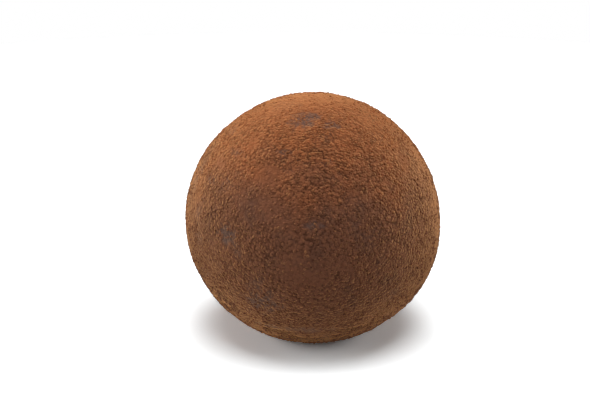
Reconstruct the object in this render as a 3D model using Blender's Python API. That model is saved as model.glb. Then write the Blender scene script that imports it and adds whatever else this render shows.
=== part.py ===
"""Chocolate truffle for Blender 4.5: one ball, rolled by hand and dusted with cocoa powder, that
has settled onto a small flat foot.

Metres, +Z up. The origin is the middle of the foot, on the surface that the truffle stands on,
and the truffle's front faces -Y. Azimuths run anticlockwise about +Z, starting from +X.
"""

import math

import bmesh
import bpy
from mathutils import Vector, noise

MM = 0.001
NAME = "truffle"

# Driving dimensions, in millimetres.
BALL_DIAMETER = 28.0
FOOT_DIAMETER = 10.4
FOOT_ROUNDING = 0.5  # how softly the side of the ball turns into the foot
HAND_UNEVENNESS = 0.05  # what rolling between two palms leaves, as a height
UNEVENNESS_LENGTH = 6.0  # across one of those low waves
SPHERE_SUBDIVISIONS = 5  # faces of about 1 mm
SHARP_EDGE = 30  # degrees; anything flatter than this is shaded smooth

# Where the ball is fuller (+) or flatter (-) than a sphere: the azimuth and the elevation of the
# middle in degrees, how far it spreads in degrees, and its height in millimetres.
SWELLS = {
    "low_right_shoulder": (-10, -24, 24, 0.30),
    "left_flank": (178, 0, 42, 0.26),
    "upper_right_flat": (16, 38, 30, -0.13),
    "back_shoulder": (80, -12, 34, 0.12),
    "back_left_flat": (130, 35, 28, -0.15),
    "front_belly": (-92, -8, 36, 0.06),
}

# Shallow dents where a finger or the tray rubbed the coat, in the same order as the swells, with
# the depth as a negative height.
RUBS = {
    "crown_front": (-97, 64, 6.0, -0.09),
    "crown_right": (-71, 61, 5.0, -0.07),
    "brow": (-103, 41, 8.0, -0.08),
    "left_cheek": (-126, 9, 7.0, -0.10),
    "left_temple": (-143, 27, 7.0, -0.06),
    "belly": (-92, 1, 12.0, -0.07),
    "low_left": (-113, -14, 9.0, -0.09),
    "right_side": (-33, 8, 11.0, -0.06),
    "right_back": (38, 22, 9.0, -0.09),
    "back": (95, 30, 10.0, -0.10),
    "back_low": (62, -18, 12.0, -0.07),
    "back_left": (152, 4, 9.0, -0.08),
}


def direction(azimuth, elevation):
    """The unit vector from the ball's centre towards a place on its surface, from degrees."""
    turn, rise = math.radians(azimuth), math.radians(elevation)
    return Vector((math.cos(rise) * math.cos(turn), math.cos(rise) * math.sin(turn), math.sin(rise)))


def soft_bumps(places):
    """[(unit vector, spread in radians, height in mm)] from a table of places."""
    return [
        (direction(azimuth, elevation), math.radians(spread), height)
        for azimuth, elevation, spread, height in places.values()
    ]


def raised(towards, bumps):
    """The height in millimetres that the bumps add in one direction, each a bell-shaped swell."""
    total = 0.0
    for middle, spread, height in bumps:
        total += height * math.exp(-((towards.angle(middle) / spread) ** 2))
    return total


def unevenness(towards):
    """The hand-rolled surface's low waves, in millimetres, in one direction."""
    waves = towards * (BALL_DIAMETER / 2 / UNEVENNESS_LENGTH)
    return HAND_UNEVENNESS * noise.noise(waves, noise_basis="PERLIN_ORIGINAL")


def settled(height):
    """A height above the foot's plane once the ball has slumped onto it, in millimetres: the side
    turns into the foot on a curve, and what was below the plane is pressed up into it."""
    return (height + math.hypot(height, FOOT_ROUNDING)) / 2


def rolled_ball():
    """The ball as a bmesh in millimetres, standing on the plane z = 0 before its foot is cut."""
    ball = bmesh.new()
    bmesh.ops.create_icosphere(ball, subdivisions=SPHERE_SUBDIVISIONS, radius=1.0)
    radius = BALL_DIAMETER / 2
    centre_height = math.sqrt(radius**2 - (FOOT_DIAMETER / 2) ** 2)
    bumps = soft_bumps(SWELLS) + soft_bumps(RUBS)
    for vert in ball.verts:
        towards = vert.co.normalized()
        vert.co = towards * (radius + raised(towards, bumps) + unevenness(towards))
        vert.co.z = settled(vert.co.z + centre_height)
    return ball


def cut_foot(ball):
    """Cuts the pressed underside off flat, half the rounding above the plane, and closes it."""
    cut_height = FOOT_ROUNDING / 2
    everything = ball.verts[:] + ball.edges[:] + ball.faces[:]
    bmesh.ops.bisect_plane(
        ball,
        geom=everything,
        plane_co=(0, 0, cut_height),
        plane_no=(0, 0, -1),
        clear_outer=True,
    )
    rim = [edge for edge in ball.edges if edge.is_boundary]
    bmesh.ops.contextual_create(ball, geom=rim)
    bmesh.ops.translate(ball, vec=(0, 0, -cut_height), verts=ball.verts)


def centre_on_foot(ball):
    """Moves the ball sideways so that the middle of its box is over the origin."""
    for axis in (0, 1):
        places = [vert.co[axis] for vert in ball.verts]
        middle = (min(places) + max(places)) / 2
        for vert in ball.verts:
            vert.co[axis] -= middle


def cocoa_dusted_chocolate():
    """Cocoa powder that sticks to dark chocolate: a dry, dull red-brown."""
    material = bpy.data.materials.new("cocoa_dusted_chocolate")
    material.use_nodes = True
    shader = material.node_tree.nodes["Principled BSDF"]
    shader.inputs["Base Color"].default_value = (0.26, 0.10, 0.042, 1.0)
    shader.inputs["Roughness"].default_value = 0.95
    shader.inputs["Metallic"].default_value = 0.0
    return material


def make_truffle():
    """The whole truffle: one closed solid, the one sub-part that the object has."""
    ball = rolled_ball()
    cut_foot(ball)
    centre_on_foot(ball)
    bmesh.ops.scale(ball, vec=(MM, MM, MM), verts=ball.verts)
    bmesh.ops.recalc_face_normals(ball, faces=ball.faces)
    mesh = bpy.data.meshes.new(NAME)
    ball.to_mesh(mesh)
    ball.free()
    mesh.shade_smooth()
    mesh.set_sharp_from_angle(angle=math.radians(SHARP_EDGE))
    mesh.materials.append(cocoa_dusted_chocolate())
    return bpy.data.objects.new(NAME, mesh)


def main():
    for obj in list(bpy.data.objects):
        bpy.data.objects.remove(obj, do_unlink=True)
    collection = bpy.data.collections.new("chocolate_truffle")
    bpy.context.scene.collection.children.link(collection)
    collection.objects.link(make_truffle())


main()
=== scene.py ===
"""The looks of a chocolate truffle: a hand-rolled ball of ganache under a coat of cocoa powder.

Lengths are in millimetres unless a name says otherwise, and MM turns them into metres. The
truffle's front faces -Y. Azimuths run anticlockwise about +Z from +X, and elevations go up from
the middle of the ball, both in degrees.
"""

import math

import bmesh
import bpy
import numpy as np
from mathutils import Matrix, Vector, noise
from mathutils.bvhtree import BVHTree


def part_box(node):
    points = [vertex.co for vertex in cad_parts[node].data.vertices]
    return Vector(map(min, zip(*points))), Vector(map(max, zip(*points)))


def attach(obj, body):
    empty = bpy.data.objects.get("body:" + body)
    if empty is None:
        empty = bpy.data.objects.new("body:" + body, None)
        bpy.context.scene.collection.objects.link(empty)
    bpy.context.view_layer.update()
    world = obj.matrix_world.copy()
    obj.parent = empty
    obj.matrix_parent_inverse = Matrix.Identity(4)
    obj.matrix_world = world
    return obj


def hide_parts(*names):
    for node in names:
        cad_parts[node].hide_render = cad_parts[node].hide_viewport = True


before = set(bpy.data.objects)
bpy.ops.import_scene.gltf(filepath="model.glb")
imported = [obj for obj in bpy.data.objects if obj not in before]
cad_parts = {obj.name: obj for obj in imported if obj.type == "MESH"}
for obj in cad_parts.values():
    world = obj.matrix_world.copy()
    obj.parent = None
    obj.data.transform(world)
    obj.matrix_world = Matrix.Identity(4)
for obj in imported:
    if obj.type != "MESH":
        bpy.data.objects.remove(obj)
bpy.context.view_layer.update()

MM = 0.001

# ---------------------------------------------------------------------------------------------
# The cocoa coat. A ball of dark ganache is rolled between the palms and tumbled in cocoa powder while
# it is tacky. The powder sticks in small lumps with dark gaps between them, and is pressed smooth or
# rubbed thin where a finger or the tray touched it.
# ---------------------------------------------------------------------------------------------

PATCH_SQUARES = 128  # along each side of the six patches that cover the ball, 0.17 mm each
PATCH_MARGIN = 0.004  # of the map's width, left free round each patch
BLEND_ROUNDS = 8  # of smoothing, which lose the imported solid's facets

lowest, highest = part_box("truffle")
BALL_RADIUS = (highest.x - lowest.x + highest.y - lowest.y) / 4 / MM
BALL_CENTRE = Vector(((lowest.x + highest.x) / 2, (lowest.y + highest.y) / 2, highest.z - BALL_RADIUS * MM))


def direction(azimuth, elevation):
    """The unit vector from the ball's middle towards a place on the coat."""
    turn, rise = math.radians(azimuth), math.radians(elevation)
    return Vector((math.cos(rise) * math.cos(turn), math.cos(rise) * math.sin(turn), math.sin(rise)))


def patched_ball():
    """Six square patches that meet as the sides of a cube do, pushed out onto a unit ball. Each
    has a square of its own in the map OFBake."""
    ball = bmesh.new()
    bmesh.ops.create_cube(ball, size=2.0)
    bmesh.ops.subdivide_edges(ball, edges=ball.edges[:], cuts=PATCH_SQUARES - 1, use_grid_fill=True)
    bake_map = ball.loops.layers.uv.new("OFBake")
    scale = (0.5 - PATCH_MARGIN) / 2
    for face in ball.faces:
        side = max(range(3), key=lambda axis: abs(face.normal[axis]))
        across, along = [axis for axis in range(3) if axis != side]
        column = side
        row = 0 if face.normal[side] < 0 else 1
        for loop in face.loops:
            u = (column + 0.5 + loop.vert.co[across] * 2 * scale) / 3
            v = (row + 0.5 + loop.vert.co[along] * 2 * scale) / 2
            loop[bake_map].uv = (u, v)
    for vert in ball.verts:
        vert.co = Vector([math.tan(value * math.pi / 4) for value in vert.co]).normalized()
    return ball


def wrapped_onto_frame(ball):
    """Moves the unit ball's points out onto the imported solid, in millimetres from its middle."""
    solid = BVHTree.FromObject(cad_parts["truffle"], bpy.context.evaluated_depsgraph_get())
    for vert in ball.verts:
        hit = solid.ray_cast(BALL_CENTRE, vert.co)[0]
        vert.co = (hit - BALL_CENTRE) / MM
    for _ in range(BLEND_ROUNDS):
        bmesh.ops.smooth_vert(
            ball, verts=ball.verts, factor=0.5, use_axis_x=True, use_axis_y=True, use_axis_z=True
        )


# Where the coat is rubbed so thin that the chocolate shows, grey with its bloom and a painted reflection of
# the light above: azimuth, elevation, half the length and half the height of the mark in millimetres, and
# how bare it is.
THIN_MARKS = {
    "crown": (-98, 66, 1.5, 1.3, 1.0),
    "crown_right": (-73, 62, 1.2, 0.8, 0.85),
    "brow": (-108, 47, 1.1, 0.5, 0.6),
    "brow_low": (-101, 39, 1.2, 0.7, 0.35),
    "forehead": (-83, 43, 0.9, 0.4, 0.45),
    "forehead_high": (-79, 55, 1.0, 0.7, 0.3),
    "temple_high": (-148, 28, 1.4, 0.8, 0.6),
    "temple": (-136, 28, 1.1, 0.7, 0.65),
    "temple_top": (-139, 43, 1.2, 0.5, 0.55),
    "high_left": (-163, 50, 1.4, 0.6, 0.55),
    "left_high": (-169, 34, 0.9, 1.6, 0.55),
    "left_middle": (-165, 24, 1.1, 2.6, 0.75),
    "ear": (-150, 12, 0.7, 2.2, 0.6),
    "cheek": (-129, 9, 1.3, 1.1, 1.0),
    "cheek_low": (-123, 3, 0.6, 1.1, 0.6),
    "middle": (-89, 17, 1.0, 0.5, 1.0),
    "middle_low": (-101, 12, 1.4, 0.6, 0.3),
    "chin_left": (-114, -20, 2.1, 1.6, 0.95),
    "chin": (-116, -10, 1.3, 1.0, 0.6),
    "underside_left": (-112, -37, 2.4, 0.55, 0.9),
    "underside": (-91, -37, 2.6, 0.6, 0.8),
    "flank": (-148, 3, 0.9, 2.0, 0.65),
    "jaw": (-146, -14, 1.3, 0.6, 0.55),
    "right": (-66, 11, 1.5, 0.9, 0.35),
    "right_low": (-50, -19, 2.2, 1.0, 0.5),
    "low_haze": (-82, -12, 3.0, 1.0, 0.15),
    "back_right": (35, 25, 1.6, 1.0, 0.6),
    "back": (95, 38, 1.4, 1.0, 0.6),
    "back_middle": (80, 2, 1.5, 1.1, 0.5),
    "back_left": (150, 12, 1.3, 0.9, 0.5),
    "back_low": (110, -22, 1.6, 0.8, 0.5),
    "right_side": (-8, 18, 1.0, 0.6, 0.5),
}

# Where the coat is whole but pressed smooth: azimuth, elevation, half the length and half the
# height in millimetres, and how smooth it is.
PRESSED_MARKS = {
    "belly": (-94, -2, 2.6, 1.9, 0.6),
    "cheek_front": (-112, 22, 3.0, 1.6, 0.5),
    "top": (-90, 84, 7.0, 4.0, 0.6),
    "left_edge": (-165, 10, 2.4, 6.0, 0.4),
    "right_edge": (-16, 6, 2.0, 6.0, 0.4),
    "low_front": (-90, -44, 5.0, 2.0, 0.4),
    "back_cheek": (60, 12, 3.0, 2.4, 0.6),
    "back_flank": (130, -4, 3.4, 2.6, 0.6),
    "back_crown": (110, 62, 3.0, 2.4, 0.5),
}
# Where the tray scraped fine grooves along the coat, in the same order: the last is how deep.
SCRAPES = {
    "low_left": (-121, -43, 4.5, 1.7, 1.0),
    "low_middle": (-96, -49, 3.4, 1.2, 0.8),
    "low_right": (-62, -41, 3.6, 1.4, 0.8),
    "jaw": (-148, -34, 3.0, 2.2, 0.8),
    "back_low": (70, -34, 5.0, 1.6, 0.9),
    "back_left": (150, -30, 4.0, 1.4, 0.7),
}
# Where the coat is coarse, with lumps that part in cracks, in the same order.
COARSE_PLACES = {
    "brow": (-77, 45, 6.8, 5.4, 0.9),
    "right_cheek": (-48, 24, 5.0, 6.0, 0.6),
    "left_cheek": (-124, 14, 3.4, 4.4, 0.5),
    "back_brow": (75, 42, 8.0, 5.6, 0.9),
    "back_right": (10, 20, 5.0, 5.0, 0.6),
    "back_left": (150, 24, 5.0, 5.0, 0.6),
    "back_low": (95, -16, 6.0, 4.0, 0.5),
}
EDGE_WANDER = 0.6  # how far a mark's edge strays, as a share of its size
EDGE_WAVES = (1.1, 2.6)  # of that straying, coarse and fine, to each millimetre
MARK_EDGE = (0.2, 1.6)  # where a mark starts to fade and where it is gone, as shares of its size
MARK_REACH = 3  # times its size, past which there is nothing of it


def smooth_step(low, high, value):
    """0 below low, 1 above high, and a soft rise between."""
    share = min(max((value - low) / (high - low), 0.0), 1.0)
    return share * share * (3 - 2 * share)


def inside_marks(place, marks):
    """How much of a mark there is at a place on the ball, from 0 to 1."""
    most = 0.0
    for azimuth, elevation, length, height, strength in marks.values():
        middle = direction(azimuth, elevation)
        offset = place - middle * BALL_RADIUS
        if offset.length_squared > (MARK_REACH * max(length, height)) ** 2:
            continue
        sideways = Vector((-math.sin(math.radians(azimuth)), math.cos(math.radians(azimuth)), 0))
        upwards = middle.cross(sideways)
        reach = math.hypot(offset.dot(sideways) / length, offset.dot(upwards) / height)
        reach += sum(EDGE_WANDER * noise.noise(place * waves) for waves in EDGE_WAVES)
        most = max(most, strength * (1 - smooth_step(*MARK_EDGE, reach)))
    return most


LUMP_PITCH = 0.6  # from one lump of powder to the next
LUMP_HEIGHT = 0.06
CRUMB_PITCH = 1.1  # of the larger, softer lumps under them
CRUMB_HEIGHT = 0.032
LUMP_FOOT = 0.8  # how far a lump reaches from its middle, as a share of the pitch
PLAIN_LUMPS = 0.2  # of their full height, outside the coarse places
PLAIN_CRUMBS = 0.6
PLAIN_WRINKLES = 0.1
WAVE_LENGTH = 3.2  # of the coat's slow rise and fall
WAVE_HEIGHT = 0.04
HAZE_SIZE = 2.2  # across the faint places where the coat is a little thin
HAZE = 0.24
HAZE_EDGE = (0.05, 0.45)  # the noise at which they begin and are full
HAZE_STRETCH = 0.7  # of the height, which makes them taller than wide
SMOOTH_SIZE = 2.4  # across the places where the coat happens to lie smooth
SMOOTH_EDGE = (0.6, 0.85)
SMOOTH_SHARE = 0.5
THIN_SMOOTHED = 0.3  # how smooth a bare place is
THIN_DEPTH = 0.04  # how far a bare place lies under the rest
# Each takes its pattern from another part of the noise.
HAZE_SHIFT = Vector((4, 9, 2))
SMOOTH_SHIFT = Vector((7, 3, 1))
CRUMB_SHIFT = Vector((5, 1, 9))


def lump(place):
    """1 on the middle of the nearest lump and 0 past its foot."""
    return 1 - min(1, noise.voronoi(place)[0][0] / LUMP_FOOT) ** 2


def risen(plain, coarse):
    """A share that is plain outside the coarse places and whole inside them."""
    return plain + (1 - plain) * coarse


def coat_at(place):
    """(height in mm, bareness, calm, wrinkled, scraped) of the coat at a place on the ball."""
    stretched = Vector((place.x, place.y, place.z * HAZE_STRETCH))
    hazy = noise.noise(stretched / HAZE_SIZE + HAZE_SHIFT)
    bare = max(inside_marks(place, THIN_MARKS), HAZE * smooth_step(*HAZE_EDGE, hazy))
    pressed = inside_marks(place, PRESSED_MARKS)
    patchy = 0.5 + 0.5 * noise.noise(place / SMOOTH_SIZE + SMOOTH_SHIFT)
    calm = max(bare * THIN_SMOOTHED, pressed, SMOOTH_SHARE * smooth_step(*SMOOTH_EDGE, patchy))
    waves = WAVE_HEIGHT * noise.noise(place / WAVE_LENGTH)
    coarse = inside_marks(place, COARSE_PLACES)
    lumps = LUMP_HEIGHT * risen(PLAIN_LUMPS, coarse) * (lump(place / LUMP_PITCH) - 0.5)
    crumbs = lump(place / CRUMB_PITCH + CRUMB_SHIFT)
    crumbs = CRUMB_HEIGHT * risen(PLAIN_CRUMBS, coarse) * (crumbs - 0.5)
    height = waves + (lumps + crumbs) * (1 - calm) - THIN_DEPTH * bare
    scraped = inside_marks(place, SCRAPES)
    return height, bare, calm, risen(PLAIN_WRINKLES, coarse) * (1 - calm), scraped


def coat_mesh():
    """The coat, with what its material needs to know at each point in four attributes."""
    ball = patched_ball()
    wrapped_onto_frame(ball)
    looks = {"bareness": [], "calm": [], "wrinkled": [], "scraped": []}
    floor_level = -BALL_CENTRE.z / MM
    ball.normal_update()
    for vert in ball.verts:
        towards = vert.co.normalized()
        height, *values = coat_at(vert.co)
        vert.co += towards * height
        vert.co.z = max(vert.co.z, floor_level)
        for kept, value in zip(looks.values(), values):
            kept.append(value)
    bmesh.ops.scale(ball, vec=(MM, MM, MM), verts=ball.verts)
    bmesh.ops.translate(ball, vec=BALL_CENTRE, verts=ball.verts)
    mesh = bpy.data.meshes.new("cocoa_coat")
    ball.to_mesh(mesh)
    ball.free()
    mesh.shade_smooth()
    for name, values in looks.items():
        mesh.attributes.new(name, "FLOAT", "POINT").data.foreach_set("value", values)
    return mesh


def linear(hex_colour):
    """An sRGB hex value as the linear colour, with alpha, that Blender's sockets take."""
    parts = [int(hex_colour[i : i + 2], 16) / 255 for i in (1, 3, 5)]
    return (*[p / 12.92 if p <= 0.04045 else ((p + 0.055) / 1.055) ** 2.4 for p in parts], 1.0)


def add(tree, kind, sources=None, **settings):
    """Adds a shader node with its own settings. sources gives, for an input's name or number, its
    value or the output that feeds it."""
    node = tree.nodes.new("ShaderNode" + kind)
    for name, value in settings.items():
        setattr(node, name, value)
    for socket, source in (sources or {}).items():
        if isinstance(source, bpy.types.NodeSocket):
            tree.links.new(source, node.inputs[socket])
        else:
            node.inputs[socket].default_value = source
    return node


# Cocoa powder: dry, dull, and paler where it is seen from the side, because each speck has a fuzz of
# finer ones. The top is painted brighter, as painted light from the lamp above. Where the coat is thin,
# the chocolate shows between the grains, grey with its bloom and with a painted reflection of the light
# above.
POWDER = "#85553F"
# painted light: the top of the ball is painted brighter and more orange, standing in for the lamp above
POWDER_PAINTED_TOP_LIGHT = "#AE673F"
GAP_SHADE = 0.8  # of the powder's colour, painted shade in the gaps between its grains
# painted shade in the gaps between grains, in the cracks and in the grooves; also the colour of the deeper
# loose grains
PAINTED_SHADE_AND_DEEP_GRAIN_COLOUR = "#391B0D"
# a painted highlight on the highest grains of the coat; also the colour of the paler loose grains
DUST_AND_PAINTED_HIGHLIGHT_COLOUR = "#C08A55"
# partly the chocolate's grey bloom and partly a painted reflection of the light above, where the coat is
# thin
BLOOM_AND_PAINTED_REFLECTION_COLOUR = "#66534E"
RUBBED_POWDER = "#67483D"  # where palms have worked it into the chocolate
FUZZ_TINT = "#FFB876"
BLOTCH_SIZE = 4
BLOTCH_REACH = 12  # how far the blotches move the edge of the painted top light
PAINTED_TOP_LIGHT_ABOVE = 9  # the ball's middle, where the painted top light begins if no blotch moves it
PAINTED_TOP_LIGHT_BLEND = 10  # from there to where it is full
RUB_SIZE = 2.6
RUB_HEIGHT = 0.6  # of its height, which makes the rubbed places taller than wide
RUB_EDGE = (0.52, 0.8)  # the noise at which they begin and are full

GRAIN_PITCH = 0.3  # from one grain of powder to the next
GRAIN_HEIGHT = 0.14
GRAIN_EDGE = (0.85, 0.3)  # a grain's foot and its flat top, as shares of the pitch
GRAIN_DOME = 0.6
LOWEST_GRAIN = 0.1  # of the full height
STRAY_SIZE = 0.2  # of the noise that makes a grain's outline uneven
STRAY = 0.14
# Single particles of cocoa, about 0.02 mm, are too fine to show, so the flecks and the fuzz are
# drawn several times coarser.
FLECK_SIZE = 0.17
FLECK_EDGE = (0.28, 0.72)
FLECK_SHARE = 0.4
FUZZ_SIZE = 0.14
FUZZ_HEIGHT = 0.03
GAP_EDGE = (0.5, 0.1)  # the grain height below which painted shade darkens it, and where it is darkest
PAINTED_HIGHLIGHT_EDGE = (0.72, 1.0)  # the grain height above which the painted highlight begins, and where it is strongest
PAINTED_HIGHLIGHT_SHARE = 0.2
HELD_BACK = 0.5  # how much a high grain keeps the bloom from showing
WORN_EDGE = (-0.2, 0.5)  # the wear at which bloom begins to show, and shows fully
WORN_SHARE = 0.8  # of the colour, which is then bloom with a painted reflection
# A tray's real scratches are a few tenths of a millimetre wide: drawn coarser, so that they show.
GROOVE_LENGTH = 4.5
GROOVE_WIDTH = 1.15
GROOVE_DEPTH = 0.15
SCALE_LENGTH = 1.05
SCALE_WIDTH = 0.45
SCALE_HEIGHT = 0.115
SCALE_WANDER = 0.5  # how far their edges stray, and the size of that noise
SCALE_FOLD = 0.3  # from a scale's edge to its flat top
CRACK_WIDTH = 0.17
SCALED_SIZE = 1.3  # across the patches that have scales
SCALED_EDGE = (0.4, 0.56)
GROOVE_EDGE = (0.5, 0.42)


def powder_tone_and_painted_top_light(tree, where):
    """The powder's colour, in blotches and duller where it was rubbed, with painted light from above making
    it brighter on top.
    """
    upward = add(tree, "SeparateXYZ", {0: where}).outputs["Z"]
    blotches = add(tree, "TexNoise", {"Vector": where, "Scale": 1 / (BLOTCH_SIZE * MM), "Detail": 3.0})
    uneven_height = add(
        tree,
        "Math",
        {0: blotches.outputs[0], 1: BLOTCH_REACH * MM, 2: upward},
        operation="MULTIPLY_ADD",
    )
    # Painted light: the colour turns brighter towards the top, where the lamp above falls.
    turns_at = BALL_CENTRE.z + PAINTED_TOP_LIGHT_ABOVE * MM
    full_at = turns_at + PAINTED_TOP_LIGHT_BLEND * MM
    painted_top_light = add(
        tree,
        "MapRange",
        {"Value": uneven_height.outputs[0], "From Min": turns_at, "From Max": full_at},
        interpolation_type="SMOOTHSTEP",
    )
    streaks = add(tree, "VectorMath", {0: where, 1: (1, 1, RUB_HEIGHT)}, operation="MULTIPLY")
    hazy = add(
        tree,
        "TexNoise",
        {"Vector": streaks.outputs[0], "Scale": 1 / (RUB_SIZE * MM), "Detail": 4.0, "Roughness": 0.6},
    )
    starts, full = RUB_EDGE
    rubbed = add(tree, "MapRange", {"Value": hazy.outputs[0], "From Min": starts, "From Max": full})
    lower = add(
        tree,
        "MixRGB",
        {"Fac": rubbed.outputs[0], "Color1": linear(POWDER), "Color2": linear(RUBBED_POWDER)},
    )
    return add(
        tree,
        "MixRGB",
        {"Fac": painted_top_light.outputs[0], "Color1": lower.outputs[0], "Color2": linear(POWDER_PAINTED_TOP_LIGHT)},
    ).outputs[0]


def dry_and_dusty(shader):
    """What all the powder shares: no gloss, and a pale fuzz at grazing angles."""
    shader.inputs["Roughness"].default_value = 0.95
    shader.inputs["Diffuse Roughness"].default_value = 1.0
    shader.inputs["IOR"].default_value = 1.45
    shader.inputs["Specular IOR Level"].default_value = 0.15
    shader.inputs["Sheen Weight"].default_value = 1.0
    shader.inputs["Sheen Roughness"].default_value = 0.4
    shader.inputs["Sheen Tint"].default_value = linear(FUZZ_TINT)


def cocoa_powder_on_chocolate():
    """The coat: domed grains with painted shade in the gaps and a painted highlight on the highest, scales
    at the brow with painted shade in their cracks, grooves where it was scraped, darkened by painted shade,
    and bloom with a painted reflection where it is thin."""
    material = bpy.data.materials.new("cocoa_powder_on_chocolate")
    material.use_nodes = True
    tree = material.node_tree
    shader = tree.nodes["Principled BSDF"]
    where = add(tree, "TexCoord").outputs["Object"]
    bareness = add(tree, "Attribute", attribute_name="bareness").outputs["Fac"]
    calm = add(tree, "Attribute", attribute_name="calm").outputs["Fac"]
    wrinkled = add(tree, "Attribute", attribute_name="wrinkled").outputs["Fac"]
    rough = add(tree, "Math", {0: 1.0, 1: calm}, operation="SUBTRACT").outputs[0]
    # Grains of powder: rounded domes, their edges made uneven by a finer noise, and flecks on them.
    stray = add(tree, "TexNoise", {"Vector": where, "Scale": 1 / (STRAY_SIZE * MM), "Detail": 1.0})
    centred = add(
        tree,
        "VectorMath",
        {0: stray.outputs["Color"], 1: (0.5, 0.5, 0.5)},
        operation="SUBTRACT",
    )
    uneven = add(
        tree,
        "VectorMath",
        {0: centred.outputs[0], 1: (STRAY * MM, STRAY * MM, STRAY * MM), 2: where},
        operation="MULTIPLY_ADD",
    )
    cells = add(tree, "TexVoronoi", {"Vector": uneven.outputs[0], "Scale": 1 / (GRAIN_PITCH * MM)})
    chance = add(tree, "SeparateXYZ", {0: cells.outputs["Color"]}).outputs["X"]
    stands = add(tree, "MapRange", {"Value": chance, "From Max": 0.5, "To Min": LOWEST_GRAIN})
    foot, top = GRAIN_EDGE
    rounded = add(
        tree,
        "MapRange",
        {
            "Value": cells.outputs["Distance"],
            "From Min": foot,
            "From Max": top,
            "To Max": GRAIN_DOME,
        },
        interpolation_type="SMOOTHSTEP",
    )
    dome = add(
        tree,
        "Math",
        {0: rounded.outputs[0], 1: stands.outputs[0]},
        operation="MULTIPLY",
    )
    flecks = add(tree, "TexNoise", {"Vector": where, "Scale": 1 / (FLECK_SIZE * MM), "Detail": 2.0})
    starts, full = FLECK_EDGE
    fleck = add(
        tree,
        "MapRange",
        {"Value": flecks.outputs[0], "From Min": starts, "From Max": full, "To Max": FLECK_SHARE},
    )
    grain = add(tree, "Math", {0: dome.outputs[0], 1: fleck.outputs[0]}, operation="ADD").outputs[0]
    # Flat scales round the brow, longer than they are high, with cracks between them that are painted dark
    # as shade.
    stretch = (1 / (SCALE_LENGTH * MM), 1 / (SCALE_WIDTH * MM), 1 / (SCALE_WIDTH * MM))
    wander = add(tree, "TexNoise", {"Vector": where, "Scale": 1 / (SCALE_WANDER * MM), "Detail": 2.0})
    strays = (SCALE_WANDER * MM, SCALE_WANDER * MM, SCALE_WANDER * MM)
    wandered = add(
        tree,
        "VectorMath",
        {0: wander.outputs["Color"], 1: strays, 2: where},
        operation="MULTIPLY_ADD",
    )
    along = add(tree, "VectorMath", {0: wandered.outputs[0], 1: stretch}, operation="MULTIPLY")
    scales = add(
        tree,
        "TexVoronoi",
        {"Vector": along.outputs[0], "Scale": 1.0},
        feature="DISTANCE_TO_EDGE",
    )
    fold = add(
        tree,
        "MapRange",
        {"Value": scales.outputs["Distance"], "From Min": 0.0, "From Max": SCALE_FOLD},
        interpolation_type="SMOOTHSTEP",
    )
    patches = add(tree, "TexNoise", {"Vector": where, "Scale": 1 / (SCALED_SIZE * MM), "Detail": 2.0})
    starts, full = SCALED_EDGE
    patch = add(tree, "MapRange", {"Value": patches.outputs[0], "From Min": starts, "From Max": full})
    parted = add(tree, "Math", {0: patch.outputs[0], 1: wrinkled}, operation="MULTIPLY")
    crack = add(
        tree,
        "MapRange",
        {"Value": scales.outputs["Distance"], "From Min": CRACK_WIDTH, "From Max": 0.0},
        interpolation_type="SMOOTHSTEP",
    )
    painted_crack_shade = add(tree, "Math", {0: crack.outputs[0], 1: parted.outputs[0]}, operation="MULTIPLY")
    # Grooves run level round the ball where it was scraped: cut into the relief and darkened with painted
    # shade.
    level = (1 / (GROOVE_LENGTH * MM), 1 / (GROOVE_LENGTH * MM), 1 / (GROOVE_WIDTH * MM))
    lengthened = add(tree, "VectorMath", {0: where, 1: level}, operation="MULTIPLY")
    ridges = add(tree, "TexNoise", {"Vector": lengthened.outputs[0], "Scale": 1.0, "Detail": 1.0})
    starts, full = GROOVE_EDGE
    groove = add(tree, "MapRange", {"Value": ridges.outputs[0], "From Min": starts, "From Max": full})
    scraped = add(tree, "Attribute", attribute_name="scraped").outputs["Fac"]
    groove_with_painted_shade = add(tree, "Math", {0: groove.outputs[0], 1: scraped}, operation="MULTIPLY")
    # the powder's colour, with its painted top light
    tone = powder_tone_and_painted_top_light(tree, where)
    # Painted shade darkens the gaps between the grains, the cracks and the grooves, and a painted highlight
    # makes the highest grains palest.
    starts, full = GAP_EDGE
    painted_gap_shade = add(
        tree,
        "MapRange",
        {"Value": grain, "From Min": starts, "From Max": full, "To Max": GAP_SHADE},
    )
    painted_gap_shade_shown = add(tree, "Math", {0: painted_gap_shade.outputs[0], 1: rough}, operation="MULTIPLY")
    either = add(tree, "Math", {0: painted_gap_shade_shown.outputs[0], 1: painted_crack_shade.outputs[0]}, operation="MAXIMUM")
    painted_shade = add(tree, "Math", {0: either.outputs[0], 1: groove_with_painted_shade.outputs[0]}, operation="MAXIMUM")
    shaded = add(
        tree,
        "MixRGB",
        {"Fac": painted_shade.outputs[0], "Color1": tone, "Color2": linear(PAINTED_SHADE_AND_DEEP_GRAIN_COLOUR)},
    )
    # Painted highlight: the highest grains are painted paler, where light would catch them.
    starts, full = PAINTED_HIGHLIGHT_EDGE
    painted_highlight = add(
        tree,
        "MapRange",
        {"Value": grain, "From Min": starts, "From Max": full, "To Max": PAINTED_HIGHLIGHT_SHARE},
    )
    painted_highlight_shown = add(tree, "Math", {0: painted_highlight.outputs[0], 1: rough}, operation="MULTIPLY")
    dust_and_painted_highlight = add(
        tree,
        "MixRGB",
        {"Fac": painted_highlight_shown.outputs[0], "Color1": shaded.outputs[0], "Color2": linear(DUST_AND_PAINTED_HIGHLIGHT_COLOUR)},
    )
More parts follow.
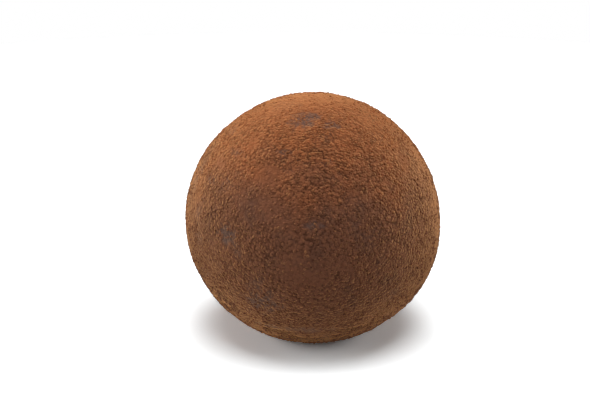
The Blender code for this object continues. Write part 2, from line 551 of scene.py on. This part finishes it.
    # Bloom shows between the grains first, where the coat is thin, grey with a painted reflection of the
    # light above.
    worn = add(tree, "Math", {0: grain, 1: -HELD_BACK, 2: bareness}, operation="MULTIPLY_ADD")
    starts, full = WORN_EDGE
    through = add(
        tree,
        "MapRange",
        {"Value": worn.outputs[0], "From Min": starts, "From Max": full, "To Max": WORN_SHARE},
    )
    shown = add(tree, "Math", {0: through.outputs[0], 1: bareness}, operation="MULTIPLY")
    bloom_and_painted_reflection = add(
        tree,
        "MixRGB",
        {"Fac": shown.outputs[0], "Color1": dust_and_painted_highlight.outputs[0], "Color2": linear(BLOOM_AND_PAINTED_REFLECTION_COLOUR)},
    )
    tree.links.new(bloom_and_painted_reflection.outputs[0], shader.inputs["Base Color"])
    # Relief, in millimetres.
    fuzz = add(tree, "TexNoise", {"Vector": where, "Scale": 1 / (FUZZ_SIZE * MM), "Detail": 2.0})
    fold_shown = add(tree, "Math", {0: fold.outputs[0], 1: parted.outputs[0]}, operation="MULTIPLY")
    grain_shown = add(tree, "Math", {0: grain, 1: rough}, operation="MULTIPLY")
    relief = add(
        tree, "Math", {0: grain_shown.outputs[0], 1: GRAIN_HEIGHT}, operation="MULTIPLY"
    )
    for layer, height in ((fuzz, FUZZ_HEIGHT), (fold_shown, SCALE_HEIGHT), (groove_with_painted_shade, -GROOVE_DEPTH)):
        relief = add(
            tree,
            "Math",
            {0: layer.outputs[0], 1: height, 2: relief.outputs[0]},
            operation="MULTIPLY_ADD",
        )
    bump = add(tree, "Bump", {"Height": relief.outputs[0], "Distance": MM, "Strength": 1.0})
    tree.links.new(bump.outputs[0], shader.inputs["Normal"])
    dry_and_dusty(shader)
    return material


coat = bpy.data.objects.new("cocoa_coat", coat_mesh())
bpy.context.scene.collection.objects.link(coat)
coat.data.materials.append(cocoa_powder_on_chocolate())
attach(coat, "root")
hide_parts("truffle")

# ---------------------------------------------------------------------------------------------
# The grains of the coat. Cocoa powder balls up into grains of a tenth to a third of a millimetre,
# which stick where they land, half sunk, and shade the gaps between them. Round the brow they were
# rolled into flakes longer than they are high. Both pieces are the same powder: coarse and fine.
# ---------------------------------------------------------------------------------------------

GRAINS = {  # how many, the smallest and the largest radius in millimetres
    "cocoa_grains_coarse": (9800, 0.09, 0.17),
    "cocoa_grains_fine": (9800, 0.05, 0.09),
}
GRAIN_FLATNESS = 0.6
GRAIN_SUNK = 0.45  # as a share of its height
BROW_STRETCH = 0.3  # how much longer than wide a grain is at the brow
CLEAR_OF_TABLE = 0.3  # no grain lies lower than this
PLAIN_STRETCH = 1.1  # and away from it
LARGE_IS_RARE = 1.6  # the higher, the fewer large grains
UNEVEN = 0.2  # how far a grain's corners stray, as a share of its radius
UNEVEN_MOST = 1.5  # times that
CALM_CLEARS = 0.85  # of the grains, where the coat is smooth
CALM_SHRINKS = 0.35  # of a grain's radius there
CROWD_SIZE = 1.6  # from a crowded place to a sparse one
CROWD = (0.6, 0.8)  # the usual crowding, and how far it varies
TURN = (1.6, 1.2)  # how freely a grain is turned, and how much of that the brow takes away
SQUARE_REACH = 0.35  # of a square of the map, so that neighbours stay apart

rng = np.random.default_rng(7)


def coat_values(name):
    """An attribute of the coat, averaged over each of its faces."""
    values = np.empty(len(coat.data.vertices))
    coat.data.attributes[name].data.foreach_get("value", values)
    return values[coat_faces].mean(axis=1)


coat_points = np.empty(len(coat.data.vertices) * 3)
coat.data.vertices.foreach_get("co", coat_points)
coat_points = coat_points.reshape(-1, 3)
coat_faces = np.empty(len(coat.data.loops), dtype=np.int32)
coat.data.loops.foreach_get("vertex_index", coat_faces)
coat_faces = coat_faces.reshape(-1, 4)
face_calm = coat_values("calm")
face_wrinkled = coat_values("wrinkled")
face_middles = coat_points[coat_faces].mean(axis=1)
face_crowd = np.array(
    [CROWD[0] + CROWD[1] * noise.noise(Vector(place) / (CROWD_SIZE * MM)) for place in face_middles]
).clip(0.1, 1.0)


def grain_mesh(name, count, smallest, largest):
    """Uneven twenty-sided grains on the coat, and their squares in the map OFBake."""
    chance = (1 - CALM_CLEARS * face_calm) * face_crowd
    chance *= face_middles[:, 2] > CLEAR_OF_TABLE * MM
    chosen = rng.choice(len(coat_faces), size=count, replace=False, p=chance / chance.sum())
    corners = coat_points[coat_faces[chosen]]
    across, along = rng.random((2, count, 1))
    near = corners[:, 0] * (1 - across) + corners[:, 1] * across
    far = corners[:, 3] * (1 - across) + corners[:, 2] * across
    places = near * (1 - along) + far * along

    outward = places - np.array(BALL_CENTRE)
    outward /= np.linalg.norm(outward, axis=1, keepdims=True)
    sideways = np.cross((0.0, 0.0, 1.0), outward)
    sideways /= np.linalg.norm(sideways, axis=1, keepdims=True)
    wrinkled = face_wrinkled[chosen][:, None]
    turn = rng.normal(size=(count, 1)) * (TURN[0] - TURN[1] * wrinkled)
    length_way = sideways * np.cos(turn) + np.cross(outward, sideways) * np.sin(turn)
    width_way = np.cross(outward, length_way)

    radius = (smallest + (largest - smallest) * rng.random((count, 1)) ** LARGE_IS_RARE) * MM
    radius *= 1 - CALM_SHRINKS * face_calm[chosen][:, None]
    length = radius * (PLAIN_STRETCH + BROW_STRETCH * wrinkled)
    height = radius * GRAIN_FLATNESS
    middle = places + outward * height * (1 - 2 * GRAIN_SUNK)
    template = bmesh.new()
    bmesh.ops.create_icosphere(template, subdivisions=1, radius=1.0)
    round_shape = np.array([vert.co for vert in template.verts])
    sides = np.array([[vert.index for vert in face.verts] for face in template.faces])
    template.free()
    per_grain = len(round_shape)
    strays = rng.normal(size=(count, per_grain, 1)).clip(-UNEVEN_MOST, UNEVEN_MOST)
    uneven = round_shape * (1 + UNEVEN * strays)
    points = (
        middle[:, None]
        + uneven[:, :, 0:1] * (length_way * length)[:, None]
        + uneven[:, :, 1:2] * (width_way * radius)[:, None]
        + uneven[:, :, 2:3] * (outward * height)[:, None]
    )
    faces = sides[None] + per_grain * np.arange(count)[:, None, None]
    mesh = bpy.data.meshes.new(name)
    mesh.from_pydata(points.reshape(-1, 3).tolist(), [], faces.reshape(-1, 3).tolist())
    mesh.shade_smooth()
    tones = np.repeat(rng.random(count), per_grain)
    mesh.attributes.new("tone", "FLOAT", "POINT").data.foreach_set("value", tones)

    squares = math.ceil(math.sqrt(count))
    flat = round_shape[:, :2] * SQUARE_REACH + 0.5
    number = np.arange(count)
    square = np.stack([number % squares, number // squares], axis=1)
    spots = (square[:, None] + flat[None])[:, sides].reshape(-1, 2) / squares
    mesh.uv_layers.new(name="OFBake").data.foreach_set("uv", spots.reshape(-1))
    return mesh


DEEP_GRAINS = (0.45, 0.6)  # the share of grains that are deeper than the rest, and how much deeper
PALE_GRAINS = (0.8, 0.3)  # where the paler ones begin, and how much paler they are
GRAIN_FUZZ_SIZE = 0.08
GRAIN_FUZZ_HEIGHT = 0.02


def loose_cocoa():
    """The powder's colour again, with the same painted light on top, each grain a little paler or deeper
    than the next.
    """
    material = bpy.data.materials.new("loose_cocoa_powder")
    material.use_nodes = True
    tree = material.node_tree
    shader = tree.nodes["Principled BSDF"]
    where = add(tree, "TexCoord").outputs["Object"]
    tone = add(tree, "Attribute", attribute_name="tone").outputs["Fac"]
    below, most = DEEP_GRAINS
    deep = add(tree, "MapRange", {"Value": tone, "From Min": below, "From Max": 0.0, "To Max": most})
    above, most = PALE_GRAINS
    pale = add(tree, "MapRange", {"Value": tone, "From Min": above, "From Max": 1.0, "To Max": most})
    shaded = add(
        tree,
        "MixRGB",
        {"Fac": deep.outputs[0], "Color1": powder_tone_and_painted_top_light(tree, where), "Color2": linear(PAINTED_SHADE_AND_DEEP_GRAIN_COLOUR)},
    )
    dust_and_painted_highlight = add(
        tree,
        "MixRGB",
        {"Fac": pale.outputs[0], "Color1": shaded.outputs[0], "Color2": linear(DUST_AND_PAINTED_HIGHLIGHT_COLOUR)},
    )
    tree.links.new(dust_and_painted_highlight.outputs[0], shader.inputs["Base Color"])
    fuzz = add(tree, "TexNoise", {"Vector": where, "Scale": 1 / (GRAIN_FUZZ_SIZE * MM), "Detail": 2.0})
    bump = add(tree, "Bump", {"Height": fuzz.outputs[0], "Distance": GRAIN_FUZZ_HEIGHT * MM})
    tree.links.new(bump.outputs[0], shader.inputs["Normal"])
    dry_and_dusty(shader)
    return material


loose_powder = loose_cocoa()
for name, (count, smallest, largest) in GRAINS.items():
    grains = bpy.data.objects.new(name, grain_mesh(name, count, smallest, largest))
    bpy.context.scene.collection.objects.link(grains)
    grains.data.materials.append(loose_powder)
    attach(grains, "root")

# ---------------------------------------------------------------------------------------------
# The studio: a white table top, a large soft light above and behind the truffle, a soft light on
# each side, and little light from the camera's side.
# ---------------------------------------------------------------------------------------------

FLOOR_RADIUS = 200  # round the truffle
WHITE_SEEN = (1.43, 1.48, 1.5)  # the table top is exposed to pure white
WHITE_BOUNCE = 0.56  # and throws back less light than that onto the truffle

floor_mesh = bpy.data.meshes.new("table_top")
floor_shape = bmesh.new()
bmesh.ops.create_circle(floor_shape, cap_ends=True, segments=64, radius=FLOOR_RADIUS * MM)
floor_shape.to_mesh(floor_mesh)
floor_shape.free()
table_top = bpy.data.objects.new("table_top", floor_mesh)
bpy.context.scene.collection.objects.link(table_top)
white = bpy.data.materials.new("white_laminate")
white.use_nodes = True
exposed = add(
    white.node_tree,
    "MixRGB",
    {
        "Fac": add(white.node_tree, "LightPath").outputs["Is Camera Ray"],
        "Color1": (WHITE_BOUNCE, WHITE_BOUNCE, WHITE_BOUNCE, 1.0),
        "Color2": (*WHITE_SEEN, 1.0),
    },
)
white_shader = white.node_tree.nodes["Principled BSDF"]
white.node_tree.links.new(exposed.outputs[0], white_shader.inputs["Base Color"])
white_shader.inputs["Roughness"].default_value = 0.6
table_top.data.materials.append(white)


def softbox(name, azimuth, elevation, distance, width, height, watts):
    """A soft rectangular light at a distance in millimetres, aimed at the truffle."""
    lamp = bpy.data.lights.new(name, "AREA")
    lamp.shape = "RECTANGLE"
    lamp.size = width * MM
    lamp.size_y = height * MM
    lamp.energy = watts
    light = bpy.data.objects.new(name, lamp)
    light.visible_camera = False
    bpy.context.scene.collection.objects.link(light)
    away = direction(azimuth, elevation)
    light.location = BALL_CENTRE + away * distance * MM
    light.rotation_euler = away.to_track_quat("Z", "Y").to_euler()


LIGHT_DISTANCE = 400
softbox("softbox_above", -40, 87.5, LIGHT_DISTANCE, width=340, height=340, watts=1.94)
softbox("softbox_left", 180, 12.5, LIGHT_DISTANCE, width=400, height=240, watts=1.5)
softbox("softbox_right", 10, 13, LIGHT_DISTANCE, width=400, height=240, watts=0.97)

ROOM_SEEN = 1.0  # how bright the room is behind the truffle
ROOM_FILL = 0.06  # and how much of that falls on it

world = bpy.data.worlds.new("studio")
bpy.context.scene.world = world
world.use_nodes = True
background = world.node_tree.nodes["Background"]
background.inputs["Color"].default_value = (1, 1, 1, 1)
seen = add(world.node_tree, "LightPath")
strength = add(
    world.node_tree,
    "MapRange",
    {"Value": seen.outputs["Is Camera Ray"], "To Min": ROOM_FILL, "To Max": ROOM_SEEN},
)
world.node_tree.links.new(strength.outputs[0], background.inputs["Strength"])

CAMERA_ELEVATION = 20.0
CAMERA_DISTANCE = 111.6
CAMERA_LENS = 60.7
SENSOR_WIDTH = 36.0
AIM_LEFT = 1.97  # the truffle stands this far right of the middle of the view
AIM_ABOVE = 0.97  # and this far below it

camera = bpy.data.objects.new("camera", bpy.data.cameras.new("camera"))
bpy.context.scene.collection.objects.link(camera)
bpy.context.scene.camera = camera
back = direction(-90, CAMERA_ELEVATION)
camera.location = BALL_CENTRE + back * CAMERA_DISTANCE * MM
up = direction(90, 90 - CAMERA_ELEVATION)
aim = BALL_CENTRE + (up * AIM_ABOVE - Vector((AIM_LEFT, 0, 0))) * MM
camera.rotation_euler = (camera.location - aim).to_track_quat("Z", "Y").to_euler()
camera.data.lens = CAMERA_LENS
camera.data.sensor_width = SENSOR_WIDTH
camera.data.clip_start = 5 * MM
camera.data.clip_end = 10.0

bpy.context.scene.view_settings.view_transform = "Standard"
